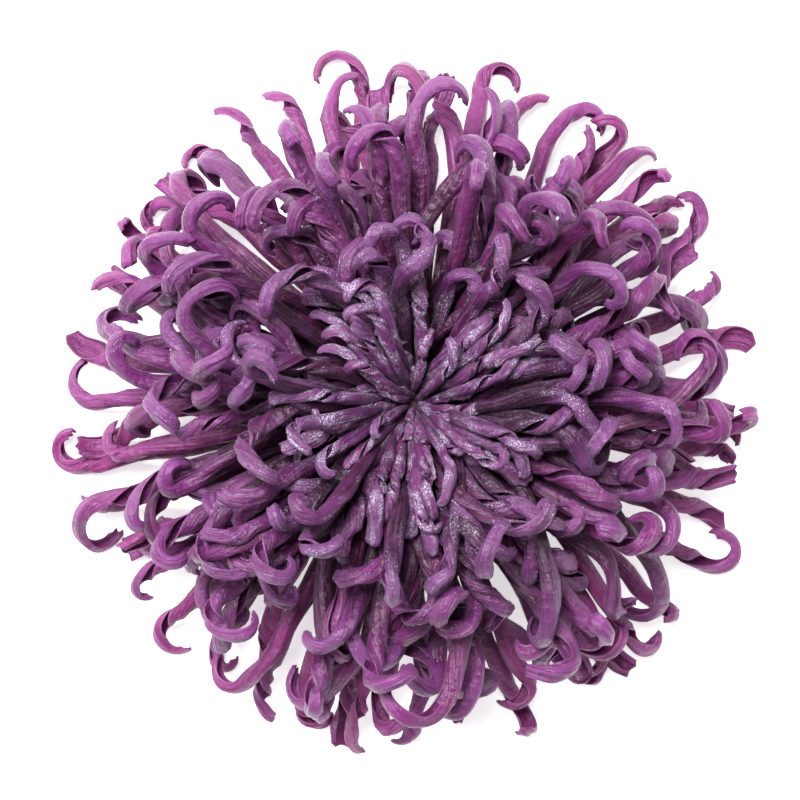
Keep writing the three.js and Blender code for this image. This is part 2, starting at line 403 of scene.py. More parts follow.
HEART_RINGS = (
    Ring("heart_tuft", 10, 1, 6, 86, 3, 4.4, 0.8, 15, 0.8, 46, 1.45, 0, HEART_HABITS, 15, 0.2),
    Ring("heart_inner", 16, 1, 12, 86, 3, 8.6, 1.1, 21, 0.8, 56, 1.75, 9, HEART_HABITS, 20, 0.2),
    Ring("heart_middle", 22, 1, 18, 84, 3, 13, 1.4, 27, 0.85, 58, 2.0, 3, HEART_HABITS, 25, 0.25),
    Ring("heart_outer", 26, 1, 25, 81, 4, 17.6, 1.8, 33, 0.95, 58, 2.3, 7, HEART_HABITS, 30, 0.3),
)


@dataclass
class PetalSet:
    """The meshes of many petals: rows are petals, then stations, then points round the section."""

    points: np.ndarray
    along: np.ndarray
    across: np.ndarray
    inside: np.ndarray
    seed: np.ndarray
    skin: int

    def piece(self, name: str, rows: list[int], material: bpy.types.Material) -> bpy.types.Object:
        """Join some of the petals in one mesh object.

        Args:
            name: the piece's name.
            rows: which petals it holds.
            material: the finish of its faces.

        Returns:
            The object, in metres.
        """
        pts = self.points[rows]
        count, stations, loop, _ = pts.shape
        grid = math.ceil(math.sqrt(count))
        faces: list[tuple[int, ...]] = []
        coords: list[tuple[float, float]] = []
        side, cap = self._side_faces(stations, loop), self._cap_faces(stations, loop)
        for p in range(count):
            base = p * stations * loop
            col, row = p % grid, p // grid
            for corners, places in side + cap:
                faces.append(tuple(base + c for c in corners))
                coords += [((col + u) / grid, (row + v) / grid) for u, v in places]
        mesh = bpy.data.meshes.new(name)
        mesh.from_pydata((pts.reshape(-1, 3) * MM).tolist(), [], faces)
        mesh.uv_layers.new(name="OFBake").data.foreach_set("uv", np.array(coords, "f").ravel())
        seeds = np.broadcast_to(self.seed[rows][:, None, None], pts.shape[:3])
        layers = {"along": self.along[rows], "across": self.across[rows],
                  "inside": self.inside[rows], "seed": seeds}
        for label, values in layers.items():
            layer = mesh.attributes.new(label, "FLOAT", "POINT")
            layer.data.foreach_set("value", np.ascontiguousarray(values, "f").ravel())
        mesh.polygons.foreach_set("use_smooth", [True] * len(mesh.polygons))
        mesh.materials.append(material)
        mesh.validate()
        piece = bpy.data.objects.new(name, mesh)
        bpy.context.scene.collection.objects.link(piece)
        return piece

    @staticmethod
    def _side_faces(stations: int, loop: int) -> list[tuple[tuple[int, ...], list]]:
        """Work out the quads between stations.

        Args:
            stations: how many sections a petal has.
            loop: how many points a section has.

        Returns:
            Each quad with its place in the petal's bake cell.
        """
        out = []
        for j in range(stations - 1):
            low, high = (0.05 + 0.9 * i / (stations - 1) for i in (j, j + 1))
            for k in range(loop):
                a, b = j * loop + k, j * loop + (k + 1) % loop
                left, right = (0.02 + 0.96 * i / loop for i in (k, k + 1))
                out.append((
                    (a, b, b + loop, a + loop),
                    [(left, low), (right, low), (right, high), (left, high)],
                ))
        return out

    def _cap_faces(self, stations: int, loop: int) -> list[tuple[tuple[int, ...], list]]:
        """Work out the faces that close both ends of a petal between its two skins.

        Args:
            stations: how many sections a petal has.
            loop: how many points a section has.

        Returns:
            Each face with its place in the petal's bake cell.
        """
        out, k = [], self.skin
        for start, low, high in ((0, 0.005, 0.04), ((stations - 1) * loop, 0.96, 0.995)):
            for i in range(k - 1):
                left, right = (0.05 + 0.9 * x / k for x in (i, i + 1))
                corners = (i, i + 1, 2 * k - 1 - i, 2 * k - i)
                places = [(left, low), (right, low), (right, high), (left, high)]
                out.append((tuple(start + c for c in corners), places))
            for corners in ((0, 2 * k, 2 * k + 1), (k - 1, k, k + 1)):
                places = [(0.96, low), (0.99, low), (0.975, high)]
                out.append((tuple(start + c for c in corners), places))
        return out


@dataclass(frozen=True)
class Blade:
    """The build of a ring's petals, in millimetres: a rolled blade that opens towards its tip."""

    width: float
    skin: int = 17
    body_steps: int = 13
    curl_steps: int = 24
    thickness: float = 0.26
    spread: float = 0.94
    pleat: float = 0.11
    ruffle: float = 0.2
    sway: float = 0.26
    taper: float = 0.6
    opening: float = 1.0

    def petals(self, growth: Growth, tips: list[Tip], numbers: list[int]) -> PetalSet:
        """Build the petals of a growth, where numbers give each petal its small differences."""
        spines = Spines.grown(growth, self.body_steps, self.curl_steps)
        return self.wrapped(spines, growth, tips, numbers)

    def wrapped(self, spines: Spines, growth: Growth, tips: list[Tip], numbers: list[int]) -> PetalSet:
        """Wrap blades round centre lines.

        Args:
            spines: the centre lines.
            growth: how the petals grow, for how much of each one curls and which way.
            tips: how each petal ends.
            numbers: each petal's own number, which its small differences come from.

        Returns:
            The petals' meshes.
        """
        rough = [np.array([scatter(n, salt) for n in numbers])[:, None, None] for salt in range(5)]
        mouth = np.array([t.mouth for t in tips])[:, None, None] * (0.86 + 0.28 * rough[0])
        point = np.array([t.point for t in tips])[:, None, None] + 0.24 * (rough[1] - 0.5)
        share = growth.share[:, None, None]
        opens = 1 - self.opening * share * (0.65 + 0.85 * rough[2])
        u = np.linspace(-1, 1, self.skin)[None, None, :]
        teeth = 1.5 + np.round(2 * rough[3])
        jag = 0.009 * np.abs(np.sin(math.pi * teeth * (u + 1) / 2 + rough[4])) + 0.012 * u**2
        base = spines.along[:, :, None]
        s = base - jag * smooth(0.86, 1, base)
        at, _, n, b = spines.sampled(s)
        at = at + self._wander(s, rough, n, b)
        opened = smooth(0, 1, (s - opens) / (1 - opens) / 0.7)
        full = smooth(0, 0.4, s)
        half = np.radians(CLOSED + (np.clip(mouth, 40, CLOSED - 14) - CLOSED) * opened)
        tube = (0.38 + 0.44 * smooth(0, 0.8, s)) * self.width / 2
        blade = self.width * self.spread / (2 * np.sin(np.minimum(half, math.pi / 2)))
        waves = 0.06 * np.sin(TURN * (4.3 * s + rough[0])) + 0.04 * np.sin(TURN * (9.1 * s + rough[2]))
        lumps = 1 + waves * full
        wide = (tube + (blade - tube) * opened) * lumps * (1 - point * smooth(self.taper, 1, s))
        deep = (0.42 + 0.5 * full) * self.width / 3.2 * (1 + 0.25 * opened) / lumps
        deep = deep * (1 - 0.45 * smooth(0.86, 1, s))
        seam = (1 - opened) * math.pi * (0.7 + 0.6 * rough[3])
        x = wide * np.sin(half * u + seam)
        y = deep * (0.5 * (1 + np.cos(half)) * opened - np.cos(half * u + seam))
        lean = 0.3 * np.sin(TURN * (1.2 * s + rough[2])) * full - self._facing(s, growth)
        x, y = x * np.cos(lean) - y * np.sin(lean), x * np.sin(lean) + y * np.cos(lean)
        out_x, out_y, _, _, _ = self._outward(x, y)
        fold = self._pleated(u, s, rough, opened) * full * self.width / 3.2
        x, y = x + out_x * fold, y + out_y * fold
        out_x, out_y, dx, dy, size = self._outward(x, y)
        thick = self.thickness / 2 * (1 - 0.45 * np.abs(u) ** 4)
        loops = []
        for side, order in ((1, slice(None)), (-1, slice(None, None, -1))):
            px, py = (x + side * out_x * thick)[..., order], (y + side * out_y * thick)[..., order]
            loops.append((px, py, order))
            end = -1 if side == 1 else 0
            run_x, run_y = (d[..., end] / size[..., end] * side for d in (dx, dy))
            reach = 0.4 * thick[..., end]
            ex, ey = x[..., end] + run_x * reach, y[..., end] + run_y * reach
            loops.append((ex[..., None], ey[..., None], slice(end, None) if end else slice(0, 1)))
        parts = []
        for px, py, order in loops:
            parts.append(at[:, :, order] + b[:, :, order] * px[..., None] + n[:, :, order] * py[..., None])
        points = self._lifted(np.concatenate(parts, axis=2), spines.along)
        across_row = np.concatenate([u[0, 0], [1], u[0, 0][::-1], [-1]])
        inside_row = np.concatenate([np.zeros(self.skin), [0.5], np.ones(self.skin), [0.5]])
        shape = points.shape[:3]
        along = np.concatenate([s, s[..., -1:], s[..., ::-1], s[..., :1]], axis=2)
        across = np.broadcast_to(across_row, shape)
        inside = np.broadcast_to(inside_row, shape)
        return PetalSet(points, along, across, inside, rough[4][:, 0, 0], self.skin)

    @staticmethod
    def _facing(s: np.ndarray, growth: Growth) -> np.ndarray:
        """Work out how far a blade has turned to open towards the inside of its curl.

        Args:
            s: the place along the petal.
            growth: how the petals grow.

        Returns:
            The turn about the centre line, in radians.
        """
        share = growth.share[:, None, None]
        rolled = growth.twist[:, None, None] * np.clip((s - 1 + share) / share, 0, 1)
        turned = smooth(0, 1, (s - 1 + 1.35 * share) / (0.6 * share))
        return np.radians(growth.way[:, None, None] - rolled) * turned

    def _wander(self, s: np.ndarray, rough: list[np.ndarray], n: np.ndarray, b: np.ndarray) -> np.ndarray:
        """Work out how far a petal strays from its centre line.

        Args:
            s: the place along the petal.
            rough: each petal's small differences.
            n: the upper face's direction.
            b: the left edge's direction.

        Returns:
            The offsets, in millimetres.
        """
        sway = self.width * self.sway * smooth(0.2, 0.8, s)
        left = np.sin(TURN * (1.3 * s + rough[3])) + 0.22 * np.sin(TURN * (4.7 * s + rough[0]))
        rise = np.sin(TURN * (1.7 * s + rough[1])) + 0.25 * np.sin(TURN * (5.3 * s + rough[4]))
        return b * (sway * left)[..., None] + n * (0.7 * sway * rise)[..., None]

    def _pleated(
        self, u: np.ndarray, s: np.ndarray, rough: list[np.ndarray], opened: np.ndarray
    ) -> np.ndarray:
        """Work out the height of a blade's lengthwise pleats and its crumples.

        Args:
            u: the place across the blade, from -1 to 1.
            s: the place along the petal.
            rough: each petal's small differences.
            opened: how far the blade has unrolled, from 0 to 1.

        Returns:
            The height above the smooth blade, in millimetres.
        """
        folds = 1.2 + 0.5 * rough[4]
        drift = rough[1] + 0.16 * np.sin(TURN * (0.9 * s + rough[0]))
        pleats = np.cos(TURN * (folds * u + drift)) + 0.4 * np.cos(TURN * (2.1 * folds * u - drift))
        crumple = np.sin(TURN * (7.3 * s + 0.6 * u + rough[2]))
        crumple = crumple * np.sin(TURN * (2.7 * s - 0.9 * u + rough[0]))
        wave = np.sin(TURN * (5.2 * s + rough[1]) + 1.4 * np.sign(u))
        pleats = pleats * (0.5 + rough[3])
        return self.pleat * (pleats + 0.8 * opened * crumple) + self.ruffle * opened * np.abs(u) ** 3 * wave

    @staticmethod
    def _outward(x: np.ndarray, y: np.ndarray) -> tuple[np.ndarray, ...]:
        """Return a section's outward directions, then its runs along both axes and their length."""
        dx, dy = np.gradient(x, axis=2), np.gradient(y, axis=2)
        size = np.hypot(dx, dy) + 1e-9
        return dy / size, -dx / size, dx, dy, size

    @staticmethod
    def _lifted(points: np.ndarray, along: np.ndarray) -> np.ndarray:
        """Lift the outer part of each petal that would dip into the table, and return the points."""
        dip = np.maximum(0, TOUCH - points[..., 2].min((1, 2)))
        points[..., 2] += (dip[:, None] * smooth(0.12, 0.4, along))[:, :, None]
        return points


class Graph:
    """A material's node tree, with short calls for the nodes that the finishes use."""

    def __init__(self, name: str) -> None:
        """Start a material whose shader stands for itself.

        Args:
            name: the material's name.
        """
        self.material = bpy.data.materials.new(name)
        self.material.use_nodes = True
        self.tree = self.material.node_tree
        self.shader = self.tree.nodes["Principled BSDF"]

    def feed(self, socket: bpy.types.NodeSocket, value: object) -> None:
        """Link a socket to another, or set it.

        Args:
            socket: the input to fill.
            value: another socket, or a number, vector or colour.
        """
        if isinstance(value, bpy.types.NodeSocket):
            self.tree.links.new(value, socket)
        else:
            socket.default_value = value

    def node(self, kind: str, **settings: object) -> bpy.types.Node:
        """Add a node.

        Args:
            kind: the node's type.
            settings: the node's own settings.

        Returns:
            The new node.
        """
        made = self.tree.nodes.new(kind)
        for key, value in settings.items():
            setattr(made, key, value)
        return made

    def read(self, attribute: str) -> bpy.types.NodeSocket:
        """Return a mesh attribute's value."""
        return self.node("ShaderNodeAttribute", attribute_name=attribute).outputs["Fac"]

    def math(self, operation: str, *values: object) -> bpy.types.NodeSocket:
        """Work out a sum on sockets or numbers.

        Args:
            operation: the sum's name.
            values: its one to three values.

        Returns:
            The node's output socket.
        """
        made = self.node("ShaderNodeMath", operation=operation)
        for socket, value in zip(made.inputs, values):
            self.feed(socket, value)
        return made.outputs[0]

    def step(self, value: object, low: float, high: float) -> bpy.types.NodeSocket:
        """Step a value smoothly from 0 to 1.

        Args:
            value: the value.
            low: where the step starts.
            high: where the step ends.

        Returns:
            The node's output socket.
        """
        made = self.node("ShaderNodeMapRange", interpolation_type="SMOOTHSTEP")
        for key, given in (("Value", value), ("From Min", low), ("From Max", high)):
            self.feed(made.inputs[key], given)
        return made.outputs[0]

    def vector(self, *values: object) -> bpy.types.NodeSocket:
        """Join three values in a vector.

        Args:
            values: the three values.

        Returns:
            The node's output socket.
        """
        made = self.node("ShaderNodeCombineXYZ")
        for socket, value in zip(made.inputs, values):
            self.feed(socket, value)
        return made.outputs[0]

    def noise(self, vector: object, scale: float, detail: float = 3) -> bpy.types.NodeSocket:
        """Add a noise.

        Args:
            vector: the place that it is read at.
            scale: how fine it is.
            detail: how many finer layers it has.

        Returns:
            The node's output socket.
        """
        made = self.node("ShaderNodeTexNoise")
        self.feed(made.inputs["Vector"], vector)
        made.inputs["Scale"].default_value = scale
        made.inputs["Detail"].default_value = detail
        return made.outputs["Fac"]

    def mix(self, share: object, low: object, high: object, way: str = "MIX") -> bpy.types.NodeSocket:
        """Blend two colours.

        Args:
            share: how much of the second colour shows.
            low: the first colour.
            high: the second colour.
            way: how they blend.

        Returns:
            The node's output socket.
        """
        made = self.node("ShaderNodeMix", data_type="RGBA", blend_type=way)
        colours = [socket for socket in made.inputs if socket.type == "RGBA"]
        self.feed(made.inputs[0], share)
        self.feed(colours[0], (*low, 1) if isinstance(low, tuple) else low)
        self.feed(colours[1], (*high, 1) if isinstance(high, tuple) else high)
        return next(socket for socket in made.outputs if socket.type == "RGBA")

    def bump(self, height: object, distance: float, under: object = None) -> bpy.types.NodeSocket:
        """Turn a height into a normal.

        Args:
            height: the height.
            distance: how deep it is, in metres.
            under: the normal that it lies on, if any.

        Returns:
            The node's output socket.
        """
        made = self.node("ShaderNodeBump")
        made.inputs["Distance"].default_value = distance
        self.feed(made.inputs["Height"], height)
        if under is not None:
            self.feed(made.inputs["Normal"], under)
        return made.outputs[0]


Colour = tuple[float, float, float]

# What every petal's shader shares: a faint gloss, light through the tissue and a soft nap.
TISSUE = {
    "Specular IOR Level": 0.46,
    "Specular Tint": (1.0, 0.93, 1.0, 1),
    "Subsurface Weight": 0.12,
    "Subsurface Radius": (1.0, 0.3, 0.8),
    "Subsurface Scale": 0.001,
    "Sheen Weight": 0.08,
    "Sheen Roughness": 0.4,
    "Sheen Tint": (0.86, 0.66, 0.98, 1),
}


@dataclass(frozen=True)
class PetalFinish:
    """The preserved tissue of a ring's petals: paler and pinker at the tip, and dark at the base, where the
    dark is painted shade of the deep gaps between petals over a darker base tone.
    """

    name: str
    claw_shade: Colour
    body: Colour
    tip: Colour
    # How far up each petal the painted shade of the gaps between petals reaches, and where the body colour
    # takes over.
    dark_until: float = 0.1
    full_from: float = 0.6
    # The strength of the silvery dust and of the painted glints and sheen laid with it.
    frost: float = 0.0

    def material(self) -> bpy.types.Material:
        """Build the finish.

        Returns:
            The material.
        """
        g = Graph(self.name)
        along, across, inside, seed = (g.read(a) for a in ("along", "across", "inside", "seed"))
        place = g.node("ShaderNodeTexCoord").outputs["Object"]
        veins = self._veins(g, along, across, seed)
        patches = g.noise(place, 300.0, 4)
        # Painted shade: the lower part of each petal, down in the gaps between petals, takes the dark base
        # colour, which blends into the body colour higher up.
        colour = g.mix(g.step(along, self.dark_until, self.full_from), self.claw_shade, self.body)
        drift = g.math("MULTIPLY", g.math("SUBTRACT", patches, 0.5), 1.3)
        fade = g.math("ADD", g.step(along, 0.55, 1.04), drift)
        colour = g.mix(g.math("MULTIPLY", fade, 0.9), colour, self.tip)
        hue = g.math("MULTIPLY", g.step(seed, 0.3, 0.95), 0.5)
        colour = g.mix(hue, colour, tuple(c * k for c, k in zip(self.body, (1.4, 0.95, 1.05))))
        colour = g.mix(g.math("MULTIPLY", g.step(veins, 0.52, 0.66), 0.6), colour, self.tip)
        colour = g.mix(g.math("MULTIPLY", g.step(veins, 0.5, 0.34), 0.7), colour, self.claw_shade)
        edge = g.math("MULTIPLY", g.step(g.math("ABSOLUTE", across), 0.88, 1.0), g.step(along, 0.5, 0.85))
        colour = g.mix(g.math("MULTIPLY", edge, 0.3), colour, (0.36, 0.15, 0.32))
        colour = g.mix(g.math("MULTIPLY", inside, 0.4), colour, tuple(0.6 * c for c in self.body))
        rough = g.math("ADD", 0.16, g.math("MULTIPLY", patches, 0.38))
        # Silvery dust with painted glints and sheen, on the middle and inner rings and the heart.
        if self.frost:
            colour, rough = self._frosted_with_glints(g, (place, along, across, seed), colour, rough)
        g.feed(g.shader.inputs["Base Color"], colour)
        g.feed(g.shader.inputs["Roughness"], rough)
        fibres = g.bump(veins, 0.0005)
        crepe = g.bump(g.noise(place, 1100.0, 5), 0.0003, fibres)
        g.feed(g.shader.inputs["Normal"], g.bump(g.noise(place, 420.0, 2), 0.0004, crepe))
        for socket, value in TISSUE.items():
            g.shader.inputs[socket].default_value = value
        return g.material

    @staticmethod
    def _veins(g: Graph, along: object, across: object, seed: object) -> bpy.types.NodeSocket:
        """Draw the fine lengthwise veins, with a few broader streaks.

        Args:
            g: the material's nodes.
            along: the place along the petal.
            across: the place across it.
            seed: the petal's own number.

        Returns:
            The veins' height, from 0 to 1.
        """
        shift = g.math("MULTIPLY", seed, 37.0)
        fine = g.vector(g.math("MULTIPLY", across, 11.0), g.math("MULTIPLY", along, 2.6), shift)
        broad = g.vector(g.math("MULTIPLY", across, 3.6), g.math("MULTIPLY", along, 3.2), shift)
        fibres = g.math("MULTIPLY", g.noise(fine, 1.0, 5), 0.6)
        return g.math("ADD", fibres, g.math("MULTIPLY", g.noise(broad, 1.0, 3), 0.4))

    def _frosted_with_glints(self, g: Graph, reads: tuple, colour: object, rough: object) -> tuple:
        """Lay fine silvery dust and bright specks over the outer part of the petals, in drifts: partly the
        dust that the petals carry, partly painted glints and sheen.

        Args:
            g: the material's nodes.
            reads: the place on the surface, the place along and across the petal and its seed.
            colour: the bare tissue's colour.
            rough: the bare tissue's roughness.

        Returns:
            The colour with its dust and painted glints, and the roughness.
        """
        place, along, across, seed = reads
        scaled = (g.math("MULTIPLY", value, k) for value, k in ((across, 1.7), (along, 7.0), (seed, 53.0)))
        streak = g.vector(*scaled)
        drift = g.step(g.noise(streak, 1.0, 5), 0.44, 0.64)
        lie = g.math("MULTIPLY", drift, g.step(along, 0.15, 0.6))
        # Painted glints and sheen: fine bright specks and a paler veil in the colour stand for sparkle on
        # the ridges, over the dust that the petals carry.
        grain = g.step(g.noise(place, 4600.0, 2), 0.66 - 0.14 * self.frost, 0.74 - 0.14 * self.frost)
        glint_flake = g.math("MULTIPLY", grain, lie)
        dust_and_sheen = g.mix(g.math("MULTIPLY", lie, 0.3 * self.frost), colour, (0.19, 0.13, 0.22))
        silver_dust_and_glints = g.mix(g.math("MULTIPLY", glint_flake, 0.75), dust_and_sheen, (0.52, 0.47, 0.6))
        return silver_dust_and_glints, g.math("SUBTRACT", rough, g.math("MULTIPLY", lie, 0.14))


# Painted light and shade between the rings: the rim's paler colours stand for light coming through its thin
# petals from the bright floor, over their own pinker tone, and the inner rings' darker bases, reaching
# further up, paint the deeper shade between their petals.
RIM_FINISH = PetalFinish(
    "petal_rim", (0.05, 0.005, 0.027), (0.15, 0.019, 0.112), (0.25, 0.05, 0.21), 0.25, 0.68
)
OUTER_FINISH = PetalFinish(
    "petal_outer", (0.03, 0.0035, 0.017), (0.11, 0.0145, 0.094), (0.205, 0.047, 0.195), 0.46, 0.74
)
MIDDLE_FINISH = PetalFinish(
    "petal_middle", (0.021, 0.0025, 0.012), (0.094, 0.0135, 0.088), (0.182, 0.047, 0.182), 0.5, 0.76, 0.14
)
INNER_FINISH = PetalFinish(
    "petal_inner", (0.017, 0.0025, 0.011), (0.082, 0.0135, 0.08), (0.172, 0.05, 0.176), 0.5, 0.76, 0.5
)
HEART_FINISH = PetalFinish(
    "petal_heart", (0.02, 0.0035, 0.014), (0.096, 0.021, 0.094), (0.2, 0.072, 0.206), 0.14, 0.6, 1.15
)
FINISHES = {"rim": RIM_FINISH, "outer": OUTER_FINISH, "middle": MIDDLE_FINISH, "inner": INNER_FINISH}


@dataclass(frozen=True)
class GreenFinish:
    """Dried green tissue with fine lengthwise fibres and browned patches."""

    name: str
    green: Colour
    brown: Colour
    roughness: float

    def material(self) -> bpy.types.Material:
        """Build the finish.

        Returns:
            The material.
        """
        g = Graph(self.name)
        place = g.node("ShaderNodeTexCoord").outputs["Object"]
        stretch = g.node("ShaderNodeMapping")
        g.feed(stretch.inputs["Vector"], place)
        stretch.inputs["Scale"].default_value = (1500.0, 1500.0, 160.0)
        fibre = g.noise(stretch.outputs[0], 1.0, 4)
        patch = g.step(g.noise(place, 420.0, 3), 0.42, 0.68)
        colour = g.mix(g.math("MULTIPLY", patch, 0.65), self.green, self.brown)
        dark = tuple(0.55 * c for c in self.green)
        colour = g.mix(g.math("MULTIPLY", g.step(fibre, 0.52, 0.36), 0.6), colour, dark)
        g.feed(g.shader.inputs["Base Color"], colour)
        g.feed(g.shader.inputs["Roughness"], g.math("ADD", self.roughness, g.math("MULTIPLY", fibre, 0.15)))
        g.feed(g.shader.inputs["Normal"], g.bump(fibre, 0.0002))
        return g.material


def tally(piece: bpy.types.Object, slot: str, *nodes: str) -> bpy.types.Object:
    """Fix a piece to the frame and log it.

    Args:
        piece: the piece.
        slot: its slot; not used.
        nodes: the CAD nodes that it stands for.

    Returns:
        The piece.
    """
    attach(piece, "root")
    if nodes:
        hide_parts(*nodes)
    log.info("%s: %d faces", piece.name, len(piece.data.polygons))
    return piece


@dataclass
class Arranger:
    """Finds room for the petals that have no solid, among the petals already in place."""

    tries: int = 14
    lean: float = 6.0
    swing: float = 30.0
    clear_from: int = 3

    def __post_init__(self) -> None:
        """Start with no petals in place."""
        self.taken = np.empty((0, 3))

    def add(self, growth: Growth) -> None:
        """Take up the room of petals."""
        at = Spines.grown(growth, SOLID_BODY_STEPS, SOLID_CURL_STEPS).at[:, self.clear_from :]
        self.taken = np.vstack([self.taken, at.reshape(-1, 3)])

    def place(self, growth: Growth, spacing: float, numbers: list[int]) -> Growth:
        """Move petals a little, one by one, to where they have the most room.

        Args:
            growth: the petals as their ring grows them.
            spacing: degrees between the ring's petals.
            numbers: each petal's own number.

        Returns:
            The petals as placed, which then take up room.
        """
        kept = []
        for row, number in enumerate(numbers):
            trial = growth.picked(np.full(self.tries, row))
            for i in range(1, self.tries):
                salt = number * self.tries + i
                trial.heading[i] += around(salt, 0, 0, 0.45 * spacing)
                trial.rise[i] += around(salt, 1, 0, self.lean)
                trial.way[i] += around(salt, 2, 0, self.swing)
                trial.reach[i] += around(salt, 3, 0, 1.5)
            trial = settled(trial)
            at = Spines.grown(trial, SOLID_BODY_STEPS, SOLID_CURL_STEPS).at[:, self.clear_from :]
            gaps = np.linalg.norm(at[:, :, None, :] - self.taken[None, None], axis=3).min(2)
            room = np.minimum(gaps, 3.6).mean(1) + 0.6 * gaps.min(1)
            best = int(np.argmax(room))
            kept.append(trial.picked(np.array([best])))
            self.taken = np.vstack([self.taken, at[best]])
        placed = kept[0]
        for one in kept[1:]:
            placed = placed.joined(one)
        return placed


@dataclass
class Bloom:
    """All the petals: the four rings, the tangle between them and the heart."""

    pieces_a_ring: int = 2
    petals: int = 0
    length: float = 0.0

    def build(self) -> None:
        """Build every ring and the heart, and dress them."""
        arranger = Arranger()
        grown, first = [], 0
        for ring in RINGS:
            growth = ring.growth(first)
            arranger.add(growth.picked(~np.array(ring.free())))
            grown.append((ring, growth, first))
            first += ring.count
        for ring, growth, start in grown:
            self._ring(ring, growth, start, arranger)
        for ring in TANGLE_RINGS:
            self._tangle(ring, first, arranger)
            first += ring.count
        self._heart(first, arranger)
        log.info("%d petals, %.2f m of petal", self.petals, self.length * MM)

    def _ring(self, ring: Ring, growth: Growth, first: int, arranger: Arranger) -> None:
        """Build a ring: a piece for each solid petal, and the rest in a few pieces.

        Args:
            ring: the ring.
            growth: how its petals grow.
            first: the number of its first petal.
            arranger: what finds room for the petals that have no solid.
        """
        blade, material = Blade(ring.width), FINISHES[ring.name].material()
        tips = [habit.value for habit in ring.habits_in_order()]
        own = np.arange(ring.count) % ring.stride == 0
        rows = np.flatnonzero(own)
        single = blade.petals(growth.picked(rows), [tips[k] for k in rows], [first + k for k in rows])
        for i in range(len(rows)):
            piece = single.piece(f"{ring.name}_quill_{i + 1:02d}", [i], material)
            tally(piece, ring.name, f"{ring.name}_petal_{i + 1:02d}")
        rest = np.flatnonzero(~own)
        numbers = [first + int(k) for k in rest]
        placed = growth.picked(rest)
        if ring.name != "rim":
            placed = arranger.place(placed, 360 / ring.count, numbers)
        others = blade.petals(placed, [tips[k] for k in rest], numbers)
        for part in range(self.pieces_a_ring):
            chosen = list(range(part, len(rest), self.pieces_a_ring))
            tally(others.piece(f"{ring.name}_quills_{'ab'[part]}", chosen, material), ring.name)
        self._count(growth.picked(rows).joined(placed))

    def _tangle(self, ring: Ring, first: int, arranger: Arranger) -> None:
        """Build a ring that has no solids, in the finish of the ring that it fills.

        Args:
            ring: the ring, named after the one that it fills.
            first: the number of its first petal.
            arranger: what finds room for its petals.
        """
        slot = ring.name.split("_")[0]
        numbers = list(range(first, first + ring.count))
        placed = arranger.place(ring.growth(first), 360 / ring.count, numbers)
        tips = [habit.value for habit in ring.habits_in_order()]
        petals = Blade(ring.width).petals(placed, tips, numbers)
        tally(petals.piece(ring.name, list(range(ring.count)), FINISHES[slot].material()), slot)
        self._count(placed)

    def _count(self, growth: Growth) -> None:
        """Add petals to the count and to the length of all petals."""
        spines = Spines.grown(growth, SOLID_BODY_STEPS, SOLID_CURL_STEPS)
        self.petals += len(spines.at)
        self.length += float(np.linalg.norm(np.diff(spines.at, axis=1), axis=2).sum())

    def _heart(self, first: int, arranger: Arranger) -> None:
        """Build the heart's rings of short petals, which stand for its one solid.

        Args:
            first: the number of the first petal.
            arranger: what finds room for the petals.
        """
        material = HEART_FINISH.material()
        for ring in HEART_RINGS:
            growth = ring.growth(first)
            numbers = list(range(first, first + ring.count))
            tips = [habit.value for habit in ring.habits_in_order()]
            blade = Blade(ring.width, skin=11, body_steps=13, curl_steps=16, thickness=0.24, sway=0.14)
            placed = arranger.place(growth, 360 / ring.count, numbers)
            petals = blade.petals(placed, tips, numbers)
            piece = petals.piece(f"{ring.name}_petals", list(range(ring.count)), material)
            tally(piece, "heart", "heart_petals")
            self._count(placed)
            first += ring.count


def revolved(name: str, profile: list[tuple[float, float]], sides: int, ribs: int,
             depth: float, material: bpy.types.Material) -> bpy.types.Object:
    """Turn a profile about the axis, with lengthwise ribs.

    Args:
        name: the piece's name.
        profile: radius and height of each ring of points, in millimetres, from the lower pole.
        sides: points round each ring.
        ribs: ribs round the piece.
        depth: the ribs' depth as a share of the radius.
        material: the finish.

    Returns:
        The closed piece.
    """
    verts = [(0.0, 0.0, profile[0][1] * MM)]
    for r, z in profile[1:-1]:
        for i in range(sides):
            a = 2 * math.pi * i / sides
            radius = r * (1 + depth * math.cos(ribs * a)) * MM
            verts.append((radius * math.cos(a), radius * math.sin(a), z * MM))
    verts.append((0.0, 0.0, profile[-1][1] * MM))
    rows, top = len(profile) - 2, len(verts) - 1
    faces: list[tuple[int, ...]] = []
    for i in range(sides):
        k = (i + 1) % sides
        faces.append((0, 1 + k, 1 + i))
        for j in range(rows - 1):
            a, b = 1 + j * sides + i, 1 + j * sides + k
            faces.append((a, b, b + sides, a + sides))
        last = 1 + (rows - 1) * sides
        faces.append((last + i, last + k, top))
    mesh = bpy.data.meshes.new(name)
    mesh.from_pydata(verts, [], faces)
    mesh.materials.append(material)
    mesh.polygons.foreach_set("use_smooth", [True] * len(faces))
    piece = bpy.data.objects.new(name, mesh)
    bpy.context.scene.collection.objects.link(piece)
    return piece


